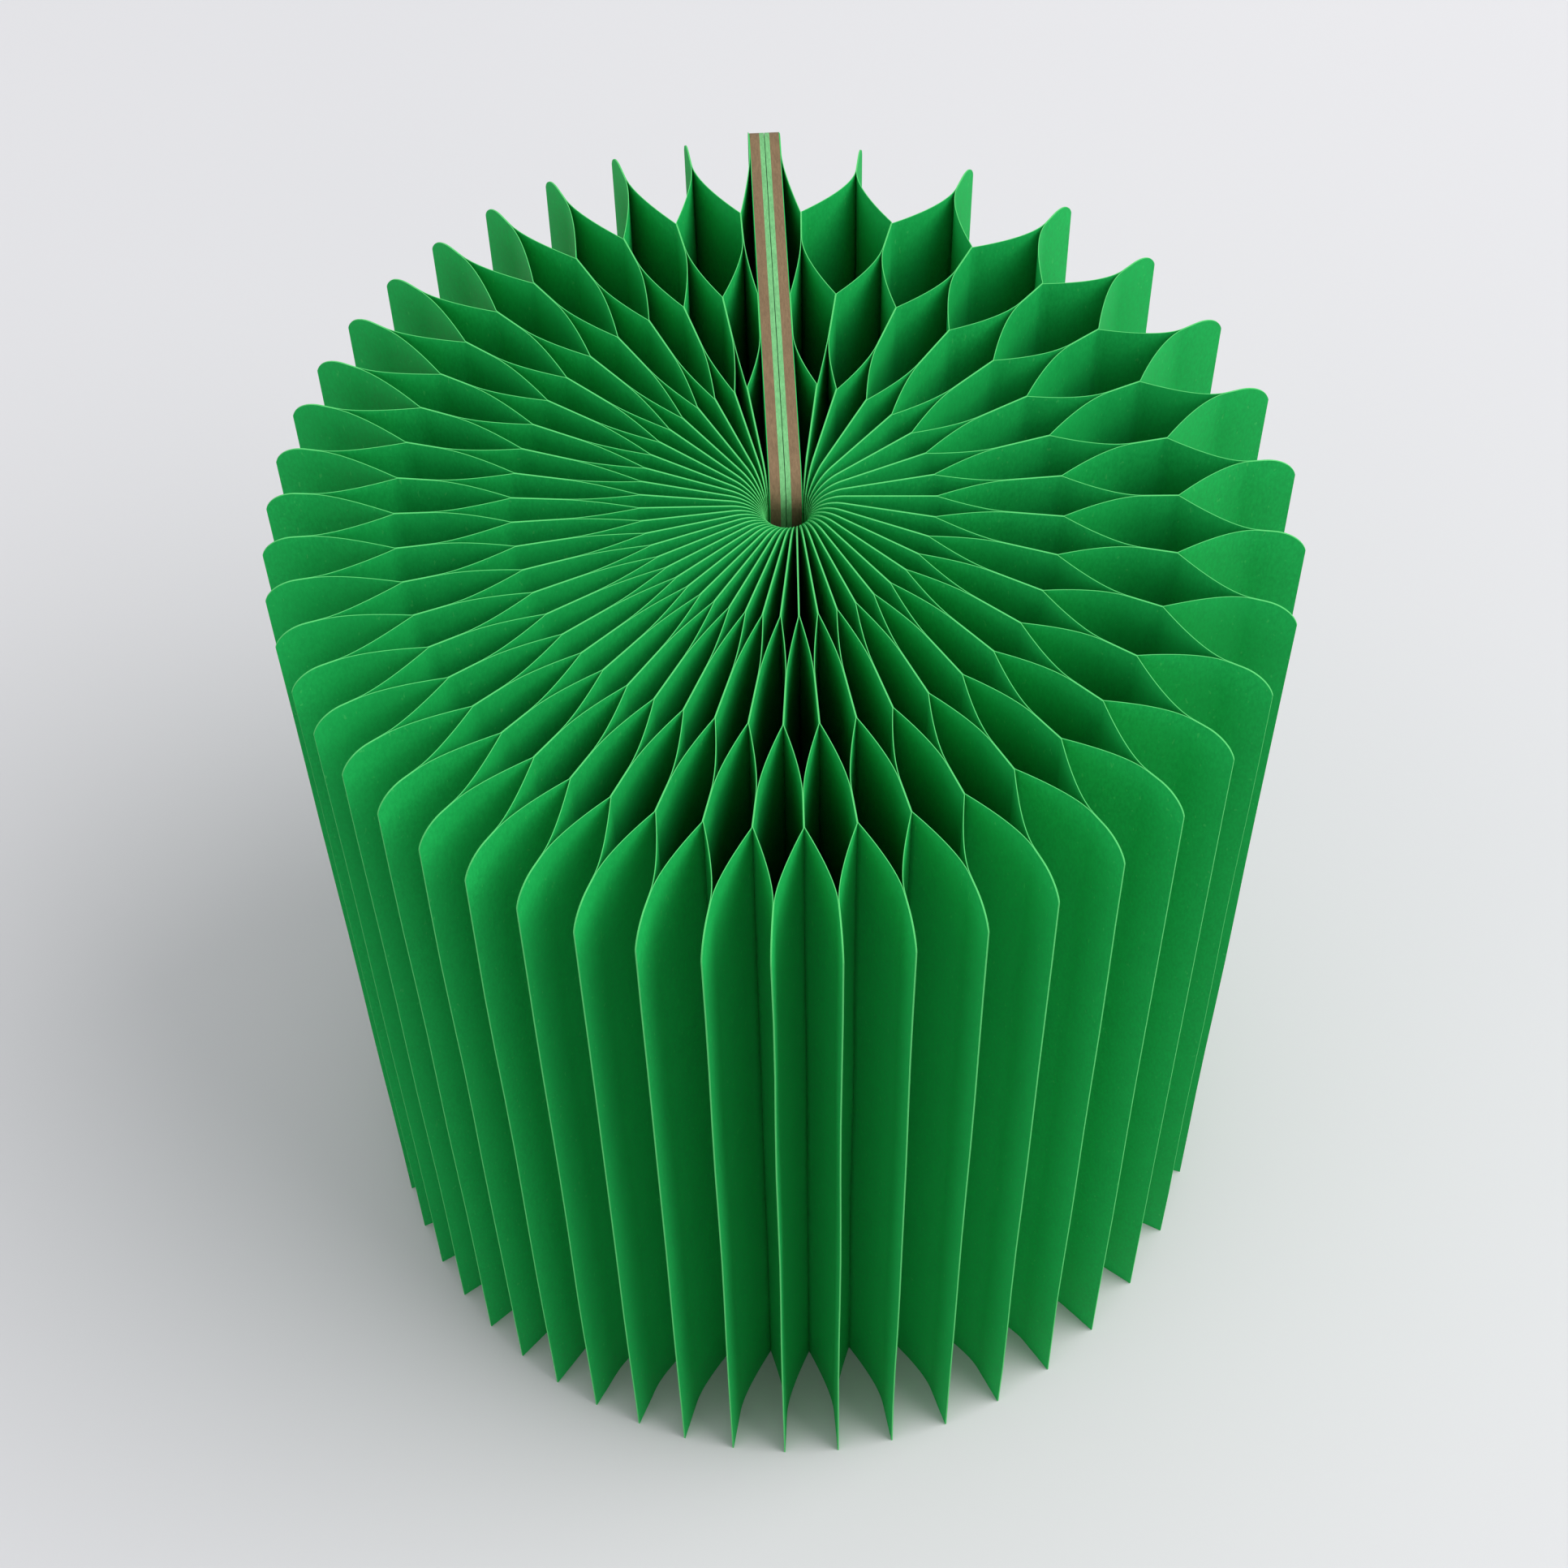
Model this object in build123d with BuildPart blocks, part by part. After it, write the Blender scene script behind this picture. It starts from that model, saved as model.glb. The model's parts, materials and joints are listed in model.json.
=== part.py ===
"""Accordion paper lantern: a honeycomb pad of die-cut leaves opened right round into a standing cylinder.

The hub axis is +Z, the lantern stands on Z = 0, and the two cover boards meet back to back in the
plane X = 0, reaching from the hub towards +Y. The fins are numbered anticlockwise from the left cover.
"""

import os
from math import asin, atan2, cos, degrees, radians, sin, sqrt, tan

from build123d import *

# leaf: one die-cut sheet, laid flat and measured outwards from its edge at the hub
height = 206.0
leaf_thickness = 0.12
glue_line = 0.01
hub_strip = 21.4
inner_span = 12.2
middle_strip = 9.3
middle_span = 13.6
outer_strip = 6.0
outer_span = 14.7
rim_strip = 8.2

# die-cut corners: the top ones are eased, the bottom ones are square
hub_ease = 6.0
shoulder_run = 5.7
shoulder_drop = 4.4

# how far a leaf bends before it lies flat on the next glued strip, as a share of its free span
rim_settle = 0.3
strip_settle = 0.35

# opening: how the fins share the full turn
fin_count = 42
left_gap = 9.8
right_gap = 12.2
tightest_fin = 16.0
spread = 3.64

# depth of the hub opening as a share of its width
hub_roundness = 1.05

# beside a cover the hub strip leans towards the fin and the outer strip towards the cover: the share of
# the gap that lies between the cover and each strip
cover_hub_share = 0.88
cover_outer_share = 0.25

# covers
board_thickness = 1.75
board_setback = 1.8
board_overhang = 1.5
card_thickness = 0.85
seam = 0.12

# closing magnets, set into the boards from the card side
magnet_diameter = 8.0
magnet_thickness = 1.0
magnet_clearance = 0.1
magnet_edge_distance = 14.0
magnet_end_distance = 45.0

full_turn = 360.0
cover_angle = 90.0
packing_step = 0.02

# fin places on the rim, covers included: the pitch is smallest at the tightest fin and grows with the
# square of the distance
weights = [1 + spread * ((k - tightest_fin) / fin_count) ** 2 for k in range(1, fin_count)]
fanned_angle = full_turn - left_gap - right_gap
pitches = [left_gap] + [fanned_angle * weight / sum(weights) for weight in weights] + [right_gap]
rim_angles = [cover_angle + sum(pitches[:k]) for k in range(fin_count + 2)]

# thickness a leaf takes up in the pad, and the stack from the seam out to each cover's end leaf
ply = leaf_thickness + glue_line
cover_depth = seam / 2 + card_thickness + board_thickness + leaf_thickness
cover_side = cover_depth + glue_line / 2
flat_width = hub_strip + inner_span + middle_strip + middle_span + outer_strip + outer_span + rim_strip


def fan(hub_half_width):
    """Inner edge and heading of every fin and cover, evenly set round an oval hub opening."""
    first = cover_angle + degrees(asin(cover_side / hub_half_width))
    last = full_turn + 2 * cover_angle - first
    members = []
    for k, rim_angle in enumerate(rim_angles):
        turn = radians(first + (last - first) * k / (fin_count + 1))
        edge = Vector(hub_half_width * cos(turn), hub_roundness * hub_half_width * sin(turn))
        outwards = Vector(cos(radians(rim_angle)), sin(radians(rim_angle)))
        lean = atan2(outwards.Y * edge.X - outwards.X * edge.Y, flat_width - outwards.dot(edge))
        members.append((edge, rim_angle + degrees(lean)))
    members[0] = (members[0][0], cover_angle)
    members[-1] = (members[-1][0], cover_angle + full_turn)
    return members


def room(here, after):
    """Distance between two neighbours at the hub, square to the line half-way between them."""
    step = after[0] - here[0]
    between = radians((here[1] + after[1]) / 2)
    return step.Y * cos(between) - step.X * sin(between)


def tightest_room(members):
    """Smallest distance between neighbours at the hub."""
    return min(room(here, after) for here, after in zip(members, members[1:]))


hub_half_width = cover_depth + 2 * ply
while tightest_room(fan(hub_half_width)) < 2 * ply:
    hub_half_width += packing_step
members = fan(hub_half_width)

# glue lines: where each fin or cover meets the next, a hub point and the headings of the two strips
shares = [(0.5, 0.5)] * (fin_count - 1)
shares = [(cover_hub_share, cover_outer_share)] + shares + [(1 - cover_hub_share, 1 - cover_outer_share)]
glue_lines = []
for here, after, (hub_share, outer_share) in zip(members, members[1:], shares):
    gap = after[1] - here[1]
    glue_lines.append(((here[0] + after[0]) / 2, here[1] + hub_share * gap, here[1] + outer_share * gap))


def landing(start, span, angle):
    """Distance at which a free span leaving one line at this distance meets the line this angle away."""
    return start * cos(radians(angle)) + sqrt(span**2 - (start * sin(radians(angle))) ** 2)


def leaf_starts(k, side):
    """Distances from the hub at which one leaf's middle, outer and rim strips start."""
    _, hub_heading, outer_heading = glue_lines[k] if side > 0 else glue_lines[k - 1]
    outer_angle = outer_heading - members[k][1]
    middle = landing(hub_strip, inner_span, hub_heading - members[k][1])
    outer = landing(middle + middle_strip, middle_span, outer_angle)
    return (middle, outer, landing(outer + outer_strip, outer_span, outer_angle))


def leaf_sides(k):
    """Sides on which a fin has a leaf; a cover has only the one that faces its neighbour."""
    return [side for side in (1, -1) if 0 <= k + side <= fin_count + 1]


def own_strips(k):
    """Inner and outer ends of the middle and rim strips, which a fin's leaves share."""
    starts = [leaf_starts(k, side) for side in leaf_sides(k)]
    middle = sum(start[0] for start in starts) / len(starts)
    rim = sum(start[2] for start in starts) / len(starts)
    return (middle, middle + middle_strip, rim, rim + rim_strip)


def leaf_face(k, side, lift):
    """Draw one face of a leaf, from rim to hub, this far out from the leaf's inner face."""
    edge, heading = members[k]
    point, hub_heading, outer_heading = glue_lines[k] if side > 0 else glue_lines[k - 1]
    start = (point - edge).rotate(Axis.Z, -heading)
    middle_start, middle_end, rim_start, rim_end = own_strips(k)
    outer_start = (leaf_starts(k, side)[1] + leaf_starts(k + side, -side)[1]) / 2

    def on_fin(x):
        return (x, side * (glue_line / 2 + lift))

    def on_line(x, line_heading):
        across = side * start.Y + side * tan(radians(line_heading - heading)) * (x - start.X)
        return (x, side * (across - ply + glue_line / 2 + lift))

    corners = [
        on_fin(rim_end),
        on_fin(rim_start),
        on_line(outer_start + outer_strip, outer_heading),
        on_line(outer_start, outer_heading),
        on_fin(middle_end),
        on_fin(middle_start),
        on_line(hub_strip, hub_heading),
        on_line(0, hub_heading),
    ]
    bends = [
        on_fin(rim_start - rim_settle * outer_span),
        on_line(outer_start - strip_settle * middle_span, outer_heading),
        on_fin(middle_start - strip_settle * inner_span),
    ]
    for outer, inner in zip(corners[::2], corners[1::2]):
        Line(outer, inner)
    for span, bend in enumerate(bends):
        Bezier(corners[2 * span + 1], bend, corners[2 * span + 2])
    return corners[0], corners[-1]


def die_outline(inner, outer):
    """Draw the outline of a die-cut sheet between two distances, with its top corners eased."""
    shoulder = (outer - shoulder_run, height)
    rim_corner = (outer, height - shoulder_drop)
    hub_corner = (inner, height - hub_ease)
    Polyline(hub_corner, (inner, 0), (outer, 0), rim_corner)
    TangentArc(shoulder, rim_corner, tangent=(1, 0))
    Line(shoulder, (inner + hub_ease, height))
    TangentArc((inner + hub_ease, height), hub_corner, tangent=(-1, 0))


def cover_plane(distance):
    """Sketch plane parallel to the seam at this X, with its axes along +Y and +Z."""
    return Plane((distance, 0, 0), x_dir=(0, 1, 0), z_dir=(1, 0, 0))


def write(part, name):
    """Label a finished piece and write it as one STEP file."""
    part.label = name
    export_step(part, f"parts/{name}.step")


os.makedirs("parts", exist_ok=True)

# fins: two leaves glued together at the rim and along the middle strip; a cover has only the one leaf
# that faces its neighbour
cover_names = {0: "left_folded_leaf", fin_count + 1: "right_folded_leaf"}
for k, (edge, heading) in enumerate(members):
    outwards = (cos(radians(heading)), sin(radians(heading)), 0)
    sideways = (sin(radians(heading)), -cos(radians(heading)), 0)
    rim = own_strips(k)[3]
    with BuildPart() as fin:
        with BuildSketch(Plane(edge, x_dir=outwards, z_dir=(0, 0, 1))):
            for side in leaf_sides(k):
                with BuildLine():
                    inner_ends = leaf_face(k, side, 0)
                    outer_ends = leaf_face(k, side, leaf_thickness)
                    Line(inner_ends[0], outer_ends[0])
                    Line(inner_ends[1], outer_ends[1])
                make_face()
        extrude(amount=height)
        with BuildSketch(Plane(edge, x_dir=outwards, z_dir=sideways)):
            with BuildLine():
                die_outline(0, rim)
            make_face()
        extrude(amount=rim, both=True, mode=Mode.INTERSECT)
    write(fin.part, cover_names.get(k, f"fin_{k:02d}"))

# covers: card, board and end leaf, stacked outwards from the seam on each side of the plane X = 0
cover_edge = flat_width + board_overhang
magnet_places = [
    (cover_edge - magnet_edge_distance, magnet_end_distance),
    (cover_edge - magnet_edge_distance, height - magnet_end_distance),
]
card_start = seam / 2
board_start = card_start + card_thickness
leaf_start = board_start + board_thickness

for name, side in (("left", -1), ("right", 1)):
    with BuildPart() as card:
        with BuildSketch(cover_plane(side * card_start)):
            with BuildLine():
                die_outline(board_setback, cover_edge)
            make_face()
        extrude(amount=side * card_thickness)
    write(card.part, f"{name}_cover_card")

    with BuildPart() as board:
        with BuildSketch(cover_plane(side * board_start)):
            with BuildLine():
                die_outline(board_setback, cover_edge)
            make_face()
        extrude(amount=side * board_thickness)
        with BuildSketch(cover_plane(side * board_start)):
            with Locations(*magnet_places):
                Circle(magnet_diameter / 2 + magnet_clearance)
        extrude(amount=side * (magnet_thickness + magnet_clearance), mode=Mode.SUBTRACT)
    write(board.part, f"{name}_cover_board")

    with BuildPart() as magnets:
        with BuildSketch(cover_plane(side * board_start)):
            with Locations(*magnet_places):
                Circle(magnet_diameter / 2)
        extrude(amount=side * magnet_thickness)
    write(magnets.part, f"{name}_magnets")

    with BuildPart() as end_leaf:
        with BuildSketch(cover_plane(side * leaf_start)):
            with BuildLine():
                die_outline(board_setback, cover_edge)
            make_face()
        extrude(amount=side * leaf_thickness)
    write(end_leaf.part, f"{name}_end_leaf")
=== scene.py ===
"""Accordion paper lantern: the looks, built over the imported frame.

Each fin and folded leaf of the CAD is replaced by finer paper leaves with the same outline; the covers keep
their CAD shapes and get materials. Lengths are in metres, in the frame's own axes.
"""

import json
import math
import random

import bpy
import numpy as np
from mathutils import Matrix, Vector


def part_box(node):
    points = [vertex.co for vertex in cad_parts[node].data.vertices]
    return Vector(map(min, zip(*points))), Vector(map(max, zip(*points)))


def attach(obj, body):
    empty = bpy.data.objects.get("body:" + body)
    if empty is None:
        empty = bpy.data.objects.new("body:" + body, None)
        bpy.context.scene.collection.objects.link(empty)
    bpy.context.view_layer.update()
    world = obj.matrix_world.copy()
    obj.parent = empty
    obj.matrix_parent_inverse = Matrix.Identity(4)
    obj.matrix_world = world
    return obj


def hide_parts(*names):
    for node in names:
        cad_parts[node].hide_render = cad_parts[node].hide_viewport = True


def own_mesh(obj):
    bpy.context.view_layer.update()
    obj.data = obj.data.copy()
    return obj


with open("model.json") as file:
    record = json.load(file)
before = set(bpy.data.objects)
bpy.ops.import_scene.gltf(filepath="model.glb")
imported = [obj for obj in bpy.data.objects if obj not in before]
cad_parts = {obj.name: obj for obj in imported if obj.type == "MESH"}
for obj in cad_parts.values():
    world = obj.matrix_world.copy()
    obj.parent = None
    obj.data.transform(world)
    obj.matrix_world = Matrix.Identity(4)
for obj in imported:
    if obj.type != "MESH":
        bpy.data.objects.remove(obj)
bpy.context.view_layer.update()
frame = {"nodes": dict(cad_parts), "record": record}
rng = random.Random(20)

MM = 0.001

# one leaf laid flat and measured outwards from the hub, with the same lengths as the CAD
hub_strip = 21.4 * MM
inner_span = 12.2 * MM
middle_strip = 9.3 * MM
middle_span = 13.6 * MM
outer_strip = 6.0 * MM
outer_span = 14.7 * MM
rim_strip = 8.2 * MM

# die-cut corners: the top ones are eased, the bottom ones are square
hub_ease = 6.0 * MM
shoulder_run = 5.7 * MM
shoulder_drop = 4.4 * MM

# how far a leaf bends before it lies flat on the next glued strip, as a share of its free span
rim_settle = 0.3
strip_settle = 0.35

# beside a cover, the share of the gap that lies between the cover and each glued strip
cover_hub_share = 0.88
cover_outer_share = 0.25

leaf_thickness = 0.12 * MM
glue_line = 0.01 * MM

# points along each stretch of a leaf, and rows of points up its height
hub_ease_points = 9
strip_points = 6
span_points = 14
outer_strip_points = 5
outer_span_points = 16
rim_strip_points = 4
shoulder_points = 15
rows = 12

# unevenness of the paper: its size, and the distances over which it grows from the hub and from the seam
unevenness = 0.12 * MM
wave_count = 26
still_radius = 8 * MM
hub_run = 60 * MM
hub_growth = 1.5
still_seam = 4 * MM
seam_run = 12 * MM

# offsets that give every leaf its own piece of the paper texture
sheet_pitch = 130 * MM
face_pitch = 2 * MM

board_rounding = 0.12 * MM
floor_reach = 6.0

joints = frame["record"]["behaviour"]["joints"]
fin_count = len(joints) - 1
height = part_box("left_cover_board")[1].z


# ---------------------------------------------------------------- fan geometry, from the frame's joints

# members are the left cover, the fins and the right cover; hinge j stands between members j and j + 1
turns = [math.radians(-joint["range_deg"][0]) for joint in joints]
headings = [math.radians(90) + sum(turns[:k]) for k in range(fin_count + 2)]
hinges = [np.array(joint["pos_m"][:2], float) for joint in joints]


def member_edge(k):
    """Where a member's inner edge stands, and the direction it points in."""
    ahead = np.array([math.cos(headings[k]), math.sin(headings[k])])
    if k == 0:
        outer_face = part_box("left_end_leaf")[0].x - glue_line / 2
        return np.array([outer_face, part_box("left_folded_leaf")[0].y]), ahead
    if k == fin_count + 1:
        outer_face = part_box("right_end_leaf")[1].x + glue_line / 2
        return np.array([outer_face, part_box("right_folded_leaf")[0].y]), ahead
    return (hinges[k - 1] + hinges[k]) / 2, ahead


def glue_line_at(j):
    """Headings of the hub strip and the outer strip between members j and j + 1."""
    hub_share, outer_share = {0: (cover_hub_share, cover_outer_share),
                              fin_count: (1 - cover_hub_share, 1 - cover_outer_share)}.get(j, (0.5, 0.5))
    return headings[j] + hub_share * turns[j], headings[j] + outer_share * turns[j]


def landing(start, span, angle):
    """Distance at which a free span leaving one line at this distance meets the line this angle away."""
    return start * math.cos(angle) + math.sqrt(span**2 - (start * math.sin(angle)) ** 2)


def leaf_starts(k, side):
    """Distances from the hub at which one leaf's middle, outer and rim strips start."""
    hub_heading, outer_heading = glue_line_at(k if side > 0 else k - 1)
    middle = landing(hub_strip, inner_span, hub_heading - headings[k])
    outer = landing(middle + middle_strip, middle_span, outer_heading - headings[k])
    return middle, outer, landing(outer + outer_strip, outer_span, outer_heading - headings[k])


def leaf_sides(k):
    """Sides on which a member has a leaf."""
    return [side for side in (1, -1) if 0 <= k + side <= fin_count + 1]


def straight(a, b, count):
    """Points from a up to, and without, b."""
    steps = np.linspace(0, 1, count, endpoint=False)[:, None]
    return np.array(a) * (1 - steps) + np.array(b) * steps


def bent(a, control, b, count):
    """Points along a bend from a up to, and without, b, pulled towards the control point."""
    steps = np.linspace(0, 1, count, endpoint=False)[:, None]
    a, control, b = np.array(a), np.array(control), np.array(b)
    return a * (1 - steps) ** 2 + 2 * control * steps * (1 - steps) + b * steps**2


def leaf_line(k, side):
    """Middle line of one leaf, from the hub out to the rim, in its member's own frame."""
    edge, ahead = member_edge(k)
    j = k if side > 0 else k - 1
    across = np.array([-ahead[1], ahead[0]])
    offset = hinges[j] - edge
    start_x, start_y = offset @ ahead, offset @ across
    hub_heading, outer_heading = glue_line_at(j)
    starts = [leaf_starts(k, each) for each in leaf_sides(k)]
    middle = sum(start[0] for start in starts) / len(starts)
    rim_start = sum(start[2] for start in starts) / len(starts)
    rim = rim_start + rim_strip
    outer = (leaf_starts(k, side)[1] + leaf_starts(k + side, -side)[1]) / 2
    lift = leaf_thickness / 2 + glue_line / 2

    def on_fin(x):
        return (x, side * lift)

    def on_line(x, heading):
        return (x, start_y + math.tan(heading - headings[k]) * (x - start_x) - side * lift)

    pieces = [
        straight(on_line(0, hub_heading), on_line(hub_ease, hub_heading), hub_ease_points),
        straight(on_line(hub_ease, hub_heading), on_line(hub_strip, hub_heading), strip_points),
        bent(on_line(hub_strip, hub_heading), on_fin(middle - strip_settle * inner_span),
             on_fin(middle), span_points),
        straight(on_fin(middle), on_fin(middle + middle_strip), strip_points),
        bent(on_fin(middle + middle_strip), on_line(outer - strip_settle * middle_span, outer_heading),
             on_line(outer, outer_heading), span_points),
        straight(on_line(outer, outer_heading), on_line(outer + outer_strip, outer_heading),
                 outer_strip_points),
        bent(on_line(outer + outer_strip, outer_heading), on_fin(rim_start - rim_settle * outer_span),
             on_fin(rim_start), outer_span_points),
        straight(on_fin(rim_start), on_fin(rim - shoulder_run), rim_strip_points),
        [on_fin(rim - shoulder_run + shoulder_run * math.sin(turned))
         for turned in np.linspace(0, math.pi / 2, shoulder_points)],
    ]
    return np.concatenate(pieces), rim


def top_edge(x, rim):
    """Height of a die-cut sheet's top edge at a distance from its inner edge."""
    if x < hub_ease:
        return height - hub_ease + math.sqrt(max(0.0, hub_ease**2 - (hub_ease - x) ** 2))
    run = x - (rim - shoulder_run)
    if run <= 0:
        return height
    radius = (shoulder_run**2 + shoulder_drop**2) / (2 * shoulder_drop)
    return height - radius + math.sqrt(radius**2 - min(run, shoulder_run) ** 2)


# ---------------------------------------------------------------- the small unevenness of real paper

# each wave has three spatial frequencies in radians per metre, a phase and the direction it pushes in
waves = []
for _ in range(wave_count):
    tilt = rng.uniform(0, 2 * math.pi)
    flat = rng.uniform(70, 260)
    upright = rng.choice((-1, 1)) * rng.uniform(6, 90)
    waves.append((flat * math.cos(tilt), flat * math.sin(tilt), upright, rng.uniform(0, 6.28),
                  rng.uniform(0, 2 * math.pi)))


def drift(points, amount):
    """Shifts points sideways by a smooth field, so that leaves in contact stay in contact."""
    shift = np.zeros((len(points), 2))
    for wx, wy, wz, phase, aim in waves:
        swing = np.sin(points[:, 0] * wx + points[:, 1] * wy + points[:, 2] * wz + phase)
        shift[:, 0] += swing * math.cos(aim)
        shift[:, 1] += swing * math.sin(aim)
    radius = np.hypot(points[:, 0], points[:, 1])
    reach = np.clip((radius - still_radius) / hub_run, 0, 1) ** hub_growth
    from_seam = np.clip((np.abs(points[:, 0]) - still_seam) / seam_run, 0, 1)
    reach *= np.where(points[:, 1] > 0, from_seam, 1)
    moved = points.copy()
    moved[:, :2] += shift * (amount / math.sqrt(len(waves)) * reach)[:, None]
    return moved


# ---------------------------------------------------------------- materials


class Nodes:
    """A short way to write a node material."""

    def __init__(self, name):
        self.material = bpy.data.materials.new(name)
        self.material.use_nodes = True
        self.tree = self.material.node_tree
        self.tree.nodes.clear()

    def put(self, node, key, value):
        """Links a socket to a node's input, or sets the input to a plain value."""
        if isinstance(value, bpy.types.NodeSocket):
            self.tree.links.new(value, node.inputs[key])
        else:
            node.inputs[key].default_value = value

    def add(self, kind, inputs=None, **settings):
        node = self.tree.nodes.new(kind)
        for key, value in settings.items():
            setattr(node, key, value)
        for key, value in (inputs or {}).items():
            self.put(node, key, value)
        return node

    def noise(self, vector, scale, detail, roughness=0.5):
        return self.add("ShaderNodeTexNoise", {"Vector": vector, "Scale": scale, "Detail": detail,
                                               "Roughness": roughness}).outputs["Fac"]

    def mix(self, factor, a, b):
        """Mixes two colours; a Mix node's colour inputs are its sockets 6 and 7."""
        return self.add("ShaderNodeMix", {0: factor, 6: a, 7: b}, data_type="RGBA").outputs[2]

    def ramp(self, factor, low_end, high_end, low_value=0.0, high_value=1.0):
        node = self.add("ShaderNodeMapRange", {"Value": factor, "From Min": low_end, "From Max": high_end,
                                               "To Min": low_value, "To Max": high_value})
        return node.outputs["Result"]

    def combine(self, operation, a, b):
        return self.add("ShaderNodeMath", {0: a, 1: b}, operation=operation).outputs[0]

    def bump(self, height_map, strength, distance):
        return self.add("ShaderNodeBump", {"Height": height_map, "Strength": strength,
                                           "Distance": distance}).outputs[0]

    def finish(self, surface):
        self.add("ShaderNodeOutputMaterial", {"Surface": surface})
        return self.material


def scaled(colour, factor, lift=0.0):
    """A colour made lighter or darker, with full alpha."""
    return tuple(min(1, channel * factor + lift) for channel in colour[:3]) + (1,)


def paper_material(name, face, edge, translucency):
    """Dyed paper with fine fibres and pale specks; its cut edges are lighter than its faces, partly the
    paper's paler core and partly a painted highlight along the rims.
    """
    n = Nodes(name)
    sheet = n.add("ShaderNodeAttribute", attribute_name="sheet").outputs["Vector"]
    cut = n.add("ShaderNodeAttribute", attribute_name="cut").outputs["Fac"]
    tint = n.add("ShaderNodeAttribute", attribute_name="tint").outputs["Fac"]
    fibre_space = n.add("ShaderNodeMapping", {"Vector": sheet, "Scale": (1.0, 0.35, 1.0)}).outputs[0]
    fibres = n.noise(fibre_space, 2600.0, 5.0, 0.62)
    grain = n.noise(sheet, 5200.0, 2.0)
    cloud = n.noise(sheet, 90.0, 4.0)
    specks = n.noise(fibre_space, 1500.0, 1.0)
    dark = scaled(face, 0.86)
    light = scaled(face, 1.1, 0.004)
    base = n.mix(n.ramp(fibres, 0.34, 0.66), dark, light)
    base = n.mix(n.ramp(cloud, 0.35, 0.65, 0.0, 0.22), base, light)
    base = n.mix(n.ramp(tint, 0.0, 1.0, 0.0, 0.3), base, dark)
    base = n.mix(n.ramp(specks, 0.72, 0.78, 0.0, 0.3), base, edge)
    # cut edges take the edge colour: the paper's paler core, lightened further by a painted highlight along
    # the rims
    edge_and_highlight_tone = n.mix(n.ramp(grain, 0.3, 0.7), edge, scaled(edge, 0.75))
    colour = n.mix(cut, base, edge_and_highlight_tone)
    relief = n.combine("ADD", n.combine("MULTIPLY", fibres, 0.7), n.combine("MULTIPLY", grain, 0.3))
    bump = n.bump(relief, 0.22, 0.06 * MM)
    roughness = n.ramp(fibres, 0.3, 0.7, 0.62, 0.8)
    body = n.add("ShaderNodeBsdfPrincipled", {"Base Color": colour, "Roughness": roughness,
                                              "Specular IOR Level": 0.12, "Normal": bump})
    through = n.add("ShaderNodeBsdfTranslucent", {"Color": colour, "Normal": bump})
    mixed = n.add("ShaderNodeMixShader", {0: translucency, 1: body.outputs[0], 2: through.outputs[0]})
    return n.finish(mixed.outputs[0])


def board_material(name, colour, along):
    """Pressed board, with fibres stretched so that its layers show along its cut edges."""
    n = Nodes(name)
    place = n.add("ShaderNodeTexCoord").outputs["Object"]
    layered = n.add("ShaderNodeMapping", {"Vector": place, "Scale": along}).outputs[0]
    fibres = n.noise(layered, 1500.0, 6.0, 0.7)
    cloud = n.noise(place, 120.0, 3.0)
    dark = scaled(colour, 0.7)
    base = n.mix(n.ramp(fibres, 0.3, 0.7), dark, scaled(colour, 1.22))
    base = n.mix(n.ramp(cloud, 0.35, 0.7, 0.0, 0.4), base, dark)
    bump = n.bump(fibres, 0.5, 0.12 * MM)
    body = n.add("ShaderNodeBsdfPrincipled", {"Base Color": base, "Roughness": 0.82,
                                              "Specular IOR Level": 0.2, "Normal": bump})
    return n.finish(body.outputs[0])


def metal_material(name):
    """Plated metal with a fine, uneven polish."""
    n = Nodes(name)
    place = n.add("ShaderNodeTexCoord").outputs["Object"]
    fine = n.noise(place, 2200.0, 4.0)
    bump = n.bump(fine, 0.15, 0.03 * MM)
    roughness = n.ramp(fine, 0.3, 0.7, 0.22, 0.4)
    body = n.add("ShaderNodeBsdfPrincipled", {"Base Color": (0.6, 0.6, 0.62, 1), "Metallic": 1.0,
                                              "Roughness": roughness, "Normal": bump})
    return n.finish(body.outputs[0])


def floor_material(name):
    """Plain pale floor, very slightly uneven in tone."""
    n = Nodes(name)
    place = n.add("ShaderNodeTexCoord").outputs["Object"]
    cloud = n.noise(place, 3.0, 2.0)
    tone = n.mix(n.ramp(cloud, 0.3, 0.7), (0.555, 0.565, 0.582, 1), (0.575, 0.582, 0.596, 1))
    body = n.add("ShaderNodeBsdfPrincipled", {"Base Color": tone, "Roughness": 0.9,
                                              "Specular IOR Level": 0.1})
    return n.finish(body.outputs[0])


green = (0.010, 0.46, 0.096, 1)
# the edge colour is the paper's paler cut edge, made lighter still as a painted highlight along the lit rims
green_edge_and_rim_highlight = (0.11, 0.64, 0.18, 1)
paper = paper_material("green_paper", green, green_edge_and_rim_highlight, 0.08)
board_brown = board_material("brown_board", (0.19, 0.128, 0.07, 1), (2.5, 0.5, 0.5))
card_green = board_material("green_card", (0.15, 0.43, 0.17, 1), (2.0, 0.6, 0.6))
nickel = metal_material("nickel")


# ---------------------------------------------------------------- leaves


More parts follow.
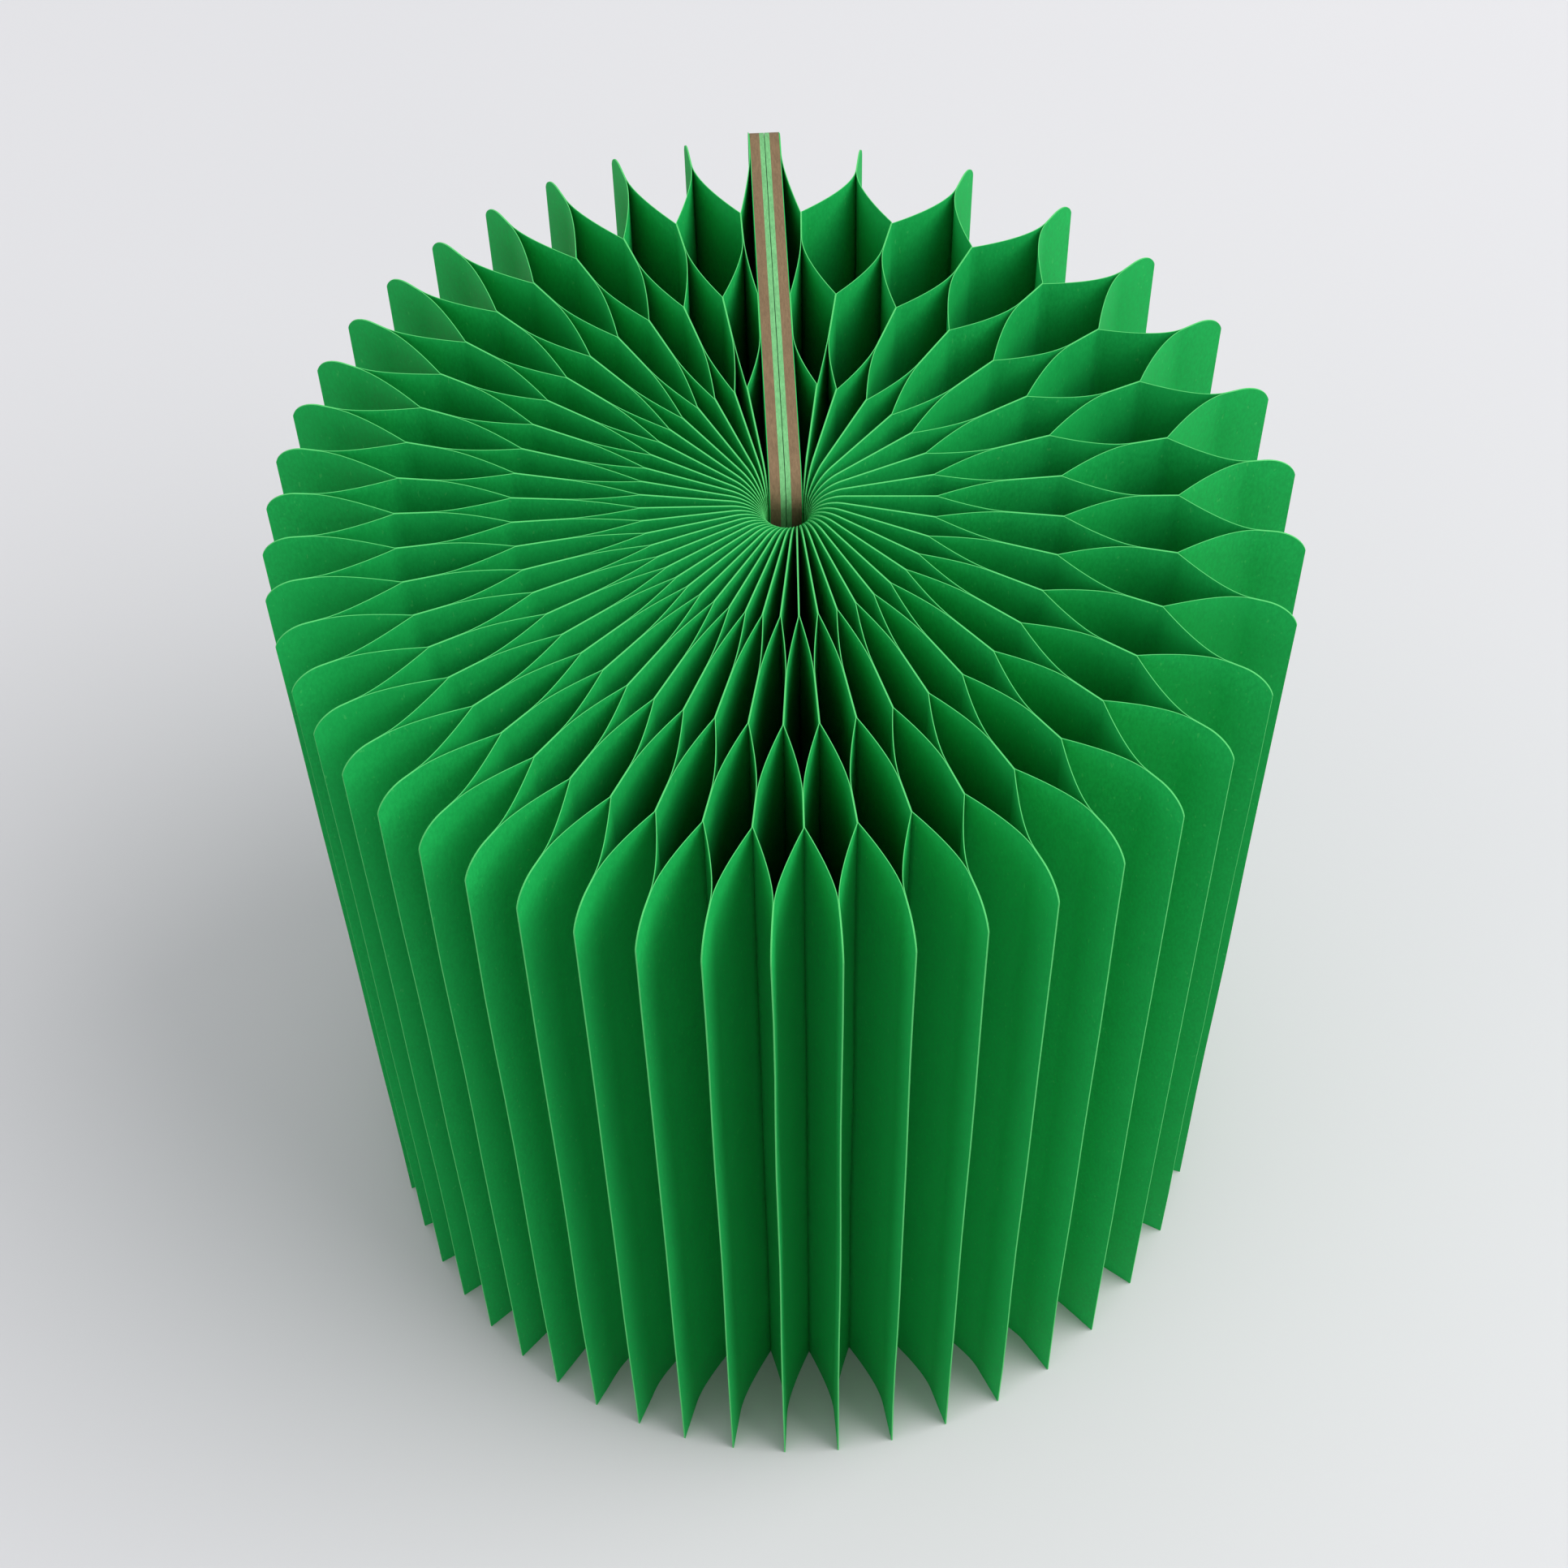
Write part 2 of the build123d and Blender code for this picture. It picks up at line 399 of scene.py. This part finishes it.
def leaf_shell(line, rim, first, sheet_id):
    """One leaf as a closed thin shell: two faces and the cut edge all round, with its sheet coordinates."""
    count = len(line)
    along = np.gradient(line, axis=0)
    along /= np.linalg.norm(along, axis=1)[:, None]
    normal = np.stack([-along[:, 1], along[:, 0]], axis=1)
    length = np.concatenate([[0], np.cumsum(np.linalg.norm(np.diff(line, axis=0), axis=1))])
    tops = np.array([top_edge(x, rim) for x in line[:, 0]])
    steps = np.linspace(0, 1, rows)
    verts, sheet = [], []
    for face in (0.5, -0.5):
        flat = line + normal * leaf_thickness * face
        for step in steps:
            for i in range(count):
                z = tops[i] * step
                verts.append((flat[i, 0], flat[i, 1], z))
                sheet.append((length[i] + sheet_pitch * sheet_id, z, face_pitch * face))
    quads, cut = [], []

    def at(face, row, i):
        return first + (face * rows + row) * count + i

    for row in range(rows - 1):
        for i in range(count - 1):
            quads.append((at(0, row, i), at(0, row + 1, i), at(0, row + 1, i + 1), at(0, row, i + 1)))
            quads.append((at(1, row, i), at(1, row, i + 1), at(1, row + 1, i + 1), at(1, row + 1, i)))
            cut += [0.0, 0.0]
    for i in range(count - 1):
        quads.append((at(0, rows - 1, i), at(1, rows - 1, i), at(1, rows - 1, i + 1), at(0, rows - 1, i + 1)))
        quads.append((at(0, 0, i), at(0, 0, i + 1), at(1, 0, i + 1), at(1, 0, i)))
        cut += [1.0, 1.0]
    for row in range(rows - 1):
        for i, flip in ((0, False), (count - 1, True)):
            quad = (at(0, row, i), at(1, row, i), at(1, row + 1, i), at(0, row + 1, i))
            quads.append(quad[::-1] if flip else quad)
            cut.append(1.0)
    return verts, quads, cut, sheet


def build(name, verts, quads, cut, sheet, tint, material):
    """One mesh object: smooth faces, cut edges marked sharp, and the attributes that the paper reads."""
    mesh = bpy.data.meshes.new(name)
    mesh.from_pydata([tuple(v) for v in verts], [], quads)
    mesh.update()
    flags = mesh.attributes.new("cut", "FLOAT", "FACE")
    flags.data.foreach_set("value", cut)
    coords = mesh.attributes.new("sheet", "FLOAT_VECTOR", "POINT")
    coords.data.foreach_set("vector", np.array(sheet, float).ravel())
    shade = mesh.attributes.new("tint", "FLOAT", "POINT")
    shade.data.foreach_set("value", tint)
    mesh.materials.append(material)
    smooth = [value < 0.5 for value in cut]
    mesh.polygons.foreach_set("use_smooth", smooth)
    obj = bpy.data.objects.new(name, mesh)
    bpy.context.collection.objects.link(obj)
    sharp = mesh.attributes.new("sharp_edge", "BOOLEAN", "EDGE")
    edge_faces = {}
    for polygon, value in zip(mesh.polygons, cut):
        for key in polygon.edge_keys:
            edge_faces.setdefault(key, set()).add(value > 0.5)
    marks = [len(edge_faces.get(tuple(sorted(edge.vertices)), ())) > 1 for edge in mesh.edges]
    sharp.data.foreach_set("value", marks)
    return obj


for k in range(fin_count + 2):
    edge, ahead = member_edge(k)
    across = np.array([-ahead[1], ahead[0]])
    verts, quads, cut, sheet, tint = [], [], [], [], []
    for side in leaf_sides(k):
        line, rim = leaf_line(k, side)
        shade = rng.random()
        leaf_verts, leaf_quads, leaf_cut, leaf_sheet = leaf_shell(line, rim, len(verts), 2 * k + (side > 0))
        verts += leaf_verts
        quads += leaf_quads
        cut += leaf_cut
        sheet += leaf_sheet
        tint += [shade] * len(leaf_verts)
    local = np.array(verts)
    placed = local.copy()
    placed[:, :2] = edge + local[:, :1] * ahead + local[:, 1:2] * across
    placed = drift(placed, unevenness)
    cover = {0: "left", fin_count + 1: "right"}.get(k)
    node = f"{cover}_folded_leaf" if cover else f"fin_{k:02d}"
    body = f"{cover}_cover" if cover else node
    leaves = build(f"paper_{node}", placed, quads, cut, sheet, tint, paper)
    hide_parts(node)
    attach(leaves, body)
    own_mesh(leaves)


# ---------------------------------------------------------------- covers

for side in ("left", "right"):
    for node, material in ((f"{side}_cover_card", card_green), (f"{side}_cover_board", board_brown),
                           (f"{side}_end_leaf", paper), (f"{side}_magnets", nickel)):
        obj = frame["nodes"][node]
        obj.data.materials.clear()
        obj.data.materials.append(material)
        if "board" in node or "card" in node:
            rounding = obj.modifiers.new("rounding", "BEVEL")
            rounding.width = board_rounding
            rounding.segments = 2
            rounding.limit_method = "ANGLE"


# ---------------------------------------------------------------- floor, light and camera

floor_mesh = bpy.data.meshes.new("floor")
floor_corners = [(x * floor_reach, y * floor_reach, 0) for x, y in ((-1, -1), (1, -1), (1, 1), (-1, 1))]
floor_mesh.from_pydata(floor_corners, [], [(0, 1, 2, 3)])
floor_mesh.materials.append(floor_material("floor_paper"))
floor = bpy.data.objects.new("floor", floor_mesh)
bpy.context.collection.objects.link(floor)

scene = bpy.context.scene
studio = bpy.data.worlds.new("studio")
studio.use_nodes = True
background = studio.node_tree.nodes["Background"]
background.inputs["Color"].default_value = (0.975, 0.965, 0.985, 1)
background.inputs["Strength"].default_value = 0.87
scene.world = studio
scene.view_settings.view_transform = "Standard"
scene.view_settings.look = "None"


def area_light(name, at, aim, size, power, colour):
    """A round soft light that shines from one point towards another."""
    data = bpy.data.lights.new(name, "AREA")
    data.shape = "DISK"
    data.size = size
    data.energy = power
    data.color = colour
    obj = bpy.data.objects.new(name, data)
    obj.location = at
    obj.rotation_euler = (Vector(aim) - Vector(at)).to_track_quat("-Z", "Y").to_euler()
    bpy.context.collection.objects.link(obj)


light_aim = (0, 0, 0.1)
area_light("window", (1.6, -0.35, 2.25), light_aim, 2.3, 66.0, (1.0, 0.975, 0.965))
area_light("fill", (-1.4, -0.9, 0.9), light_aim, 1.1, 2.0, (0.98, 0.98, 1.0))

# the camera looks down at the lantern from the side away from the covers
camera_place = Vector((-0.01155, -0.3251, 0.6170))
elevation = math.radians(56.9)
azimuth = math.radians(-91.8)
roll = math.radians(-1.12)
camera_data = bpy.data.cameras.new("camera")
camera_data.sensor_width = 36.0
camera_data.lens = 71.9
camera_data.clip_start = 0.01
camera = bpy.data.objects.new("camera", camera_data)
bpy.context.collection.objects.link(camera)
forward = -Vector((math.cos(elevation) * math.cos(azimuth), math.cos(elevation) * math.sin(azimuth),
                   math.sin(elevation)))
right = forward.cross(Vector((0, 0, 1))).normalized()
up = right.cross(forward).normalized()
camera_right = right * math.cos(roll) + up * math.sin(roll)
camera_up = up * math.cos(roll) - right * math.sin(roll)
facing = Matrix((camera_right, camera_up, -forward)).transposed().to_4x4()
camera.matrix_world = Matrix.Translation(camera_place) @ facing
scene.camera = camera
